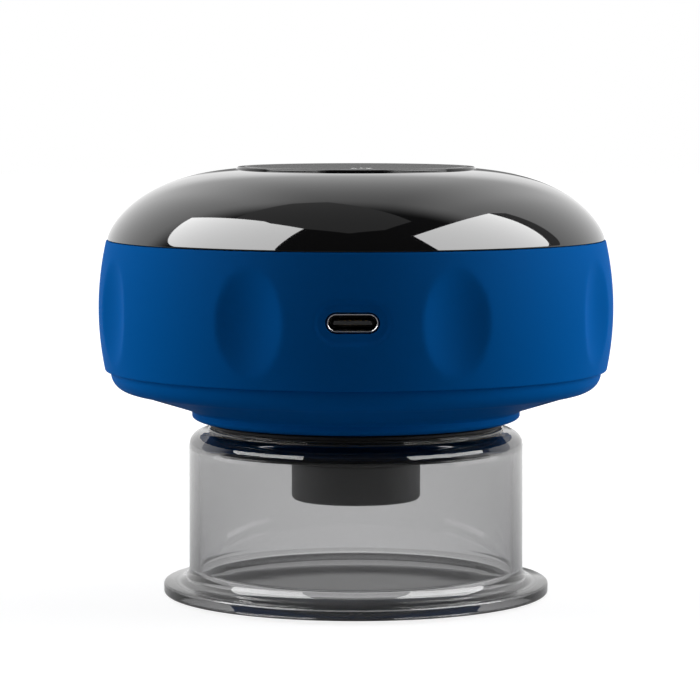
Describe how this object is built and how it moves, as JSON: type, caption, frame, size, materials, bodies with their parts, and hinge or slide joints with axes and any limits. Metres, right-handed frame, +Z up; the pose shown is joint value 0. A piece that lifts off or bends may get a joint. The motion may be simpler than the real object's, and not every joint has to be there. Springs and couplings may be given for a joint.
{
  "type": "electric cupping massager",
  "caption": "Round battery suction unit with a glossy domed lid and finger dents, on a clear pull-off suction cup with a wide rim.",
  "frame": {"origin": "on the floor in the middle of the suction cup's rim", "axes": "+Z up, the charging port faces -Y, the pump's motor shaft lies along X"},
  "size_m": [0.0948, 0.0947, 0.079],
  "materials": {
    "gloss_plastic_polished_black": "polished black",
    "gloss_plastic_smooth_dark_window": "smooth dark window",
    "matte_plastic_solder_mask": "solder mask",
    "matte_plastic_moulded": "moulded",
    "rubber_conductive_foam": "conductive foam",
    "matte_plastic_moulded_2": "moulded",
    "matte_plastic_soft_touch_blue": "soft touch blue",
    "brushed_steel_plated": "plated",
    "matte_plastic_moulded_3": "moulded",
    "rubber_silicone": "silicone",
    "gloss_plastic_black": "black",
    "matte_plastic_dark_grey": "dark grey",
    "fabric_foam": "foam",
    "gloss_plastic_clear_smoke_grey": "clear smoke grey",
    "gloss_plastic_clear": "clear",
    "matte_plastic_moulded_black": "moulded black",
    "aluminium_shrink_wrap": "shrink wrap",
    "brushed_steel_plated_2": "plated",
    "brushed_steel_sintered": "sintered",
    "brass_copper_wound": "copper wound",
    "rubber_silicone_2": "silicone",
    "brass_copper_wire": "copper wire",
    "brushed_steel_turned": "turned",
    "brushed_steel_wire": "wire",
    "brushed_steel_plated_3": "plated"
  },
  "bodies": {
    "unit": {"top_dome": "gloss_plastic_polished_black", "touch_panel": "gloss_plastic_smooth_dark_window", "touch_board": "matte_plastic_solder_mask", "display_module": "matte_plastic_moulded", "touch_pad_1": "rubber_conductive_foam", "touch_pad_2": "rubber_conductive_foam", "touch_pad_3": "rubber_conductive_foam", "main_board": "matte_plastic_solder_mask", "buzzer": "matte_plastic_moulded_2", "main_housing": "matte_plastic_soft_touch_blue", "base_cover": "matte_plastic_soft_touch_blue", "usb_shell": "brushed_steel_plated", "usb_tongue": "matte_plastic_moulded_3", "usb_board": "matte_plastic_solder_mask", "neck_gasket": "rubber_silicone", "seal_ring": "rubber_silicone", "suction_head": "gloss_plastic_black", "filter_sponge": "fabric_foam", "lamp_board": "matte_plastic_solder_mask", "lamp_guide": "gloss_plastic_clear", "chassis": "matte_plastic_moulded_black", "battery_cell": "aluminium_shrink_wrap", "motor_can": "brushed_steel_plated_2", "motor_end_cap": "matte_plastic_moulded_2", "magnet_upper": "brushed_steel_sintered", "magnet_lower": "brushed_steel_sintered", "pump_frame": "matte_plastic_moulded_2", "diaphragm": "rubber_silicone_2", "valve_plate": "matte_plastic_moulded", "pump_head": "matte_plastic_moulded_2", "valve_body": "matte_plastic_moulded", "valve_coil": "brass_copper_wire", "valve_yoke": "brushed_steel_plated_2", "valve_spring": "brushed_steel_wire", "suction_hose": "rubber_silicone_2", "pump_hose": "rubber_silicone_2", "base_screw_1": "brushed_steel_plated_3", "base_screw_2": "brushed_steel_plated_3", "base_screw_3": "brushed_steel_plated_3", "head_screw_1": "brushed_steel_plated_3", "head_screw_2": "brushed_steel_plated_3", "head_screw_3": "brushed_steel_plated_3", "chassis_screw_1": "brushed_steel_plated_3", "chassis_screw_2": "brushed_steel_plated_3", "chassis_screw_3": "brushed_steel_plated_3", "board_screw_1": "brushed_steel_plated_3", "board_screw_2": "brushed_steel_plated_3", "board_screw_3": "brushed_steel_plated_3"},
    "cup": {"cup": "gloss_plastic_clear_smoke_grey"},
    "filter_cap": {"filter_cap": "matte_plastic_dark_grey"},
    "rotor": {"armature": "brass_copper_wound", "eccentric_hub": "matte_plastic_moulded"},
    "wobbler": {"wobble_plate": "matte_plastic_moulded"},
    "plunger": {"valve_plunger": "brushed_steel_turned"}
  },
  "joints": [
    {"name": "cup_pull_off", "type": "slide", "parent": "unit", "child": "cup", "axis": [0, 0, -1], "range_m": [0, 0.03]},
    {"name": "filter_cap_pull_off", "type": "slide", "parent": "unit", "child": "filter_cap", "axis": [0, 0, -1], "range_m": [0, 0.012]},
    {"name": "rotor_spin", "type": "hinge", "parent": "unit", "child": "rotor", "pos_m": [0, -0.014, 0.0546], "axis": [1, 0, 0], "continuous": true},
    {"name": "wobble_turn", "type": "hinge", "parent": "rotor", "child": "wobbler", "pos_m": [0.0076, -0.014, 0.0546], "axis": [0.9903, 0, -0.1392], "continuous": true, "deforming": ["diaphragm"]},
    {"name": "valve_lift", "type": "slide", "parent": "unit", "child": "plunger", "axis": [0, 0, 1], "range_m": [0, 0.0012], "stiffness_N_per_m": 200, "springref_m": -0.002, "deforming": ["valve_spring"]}
  ],
  "couplings": [
    {"joint": "wobble_turn", "follows": "rotor_spin", "ratio": -1}
  ]
}
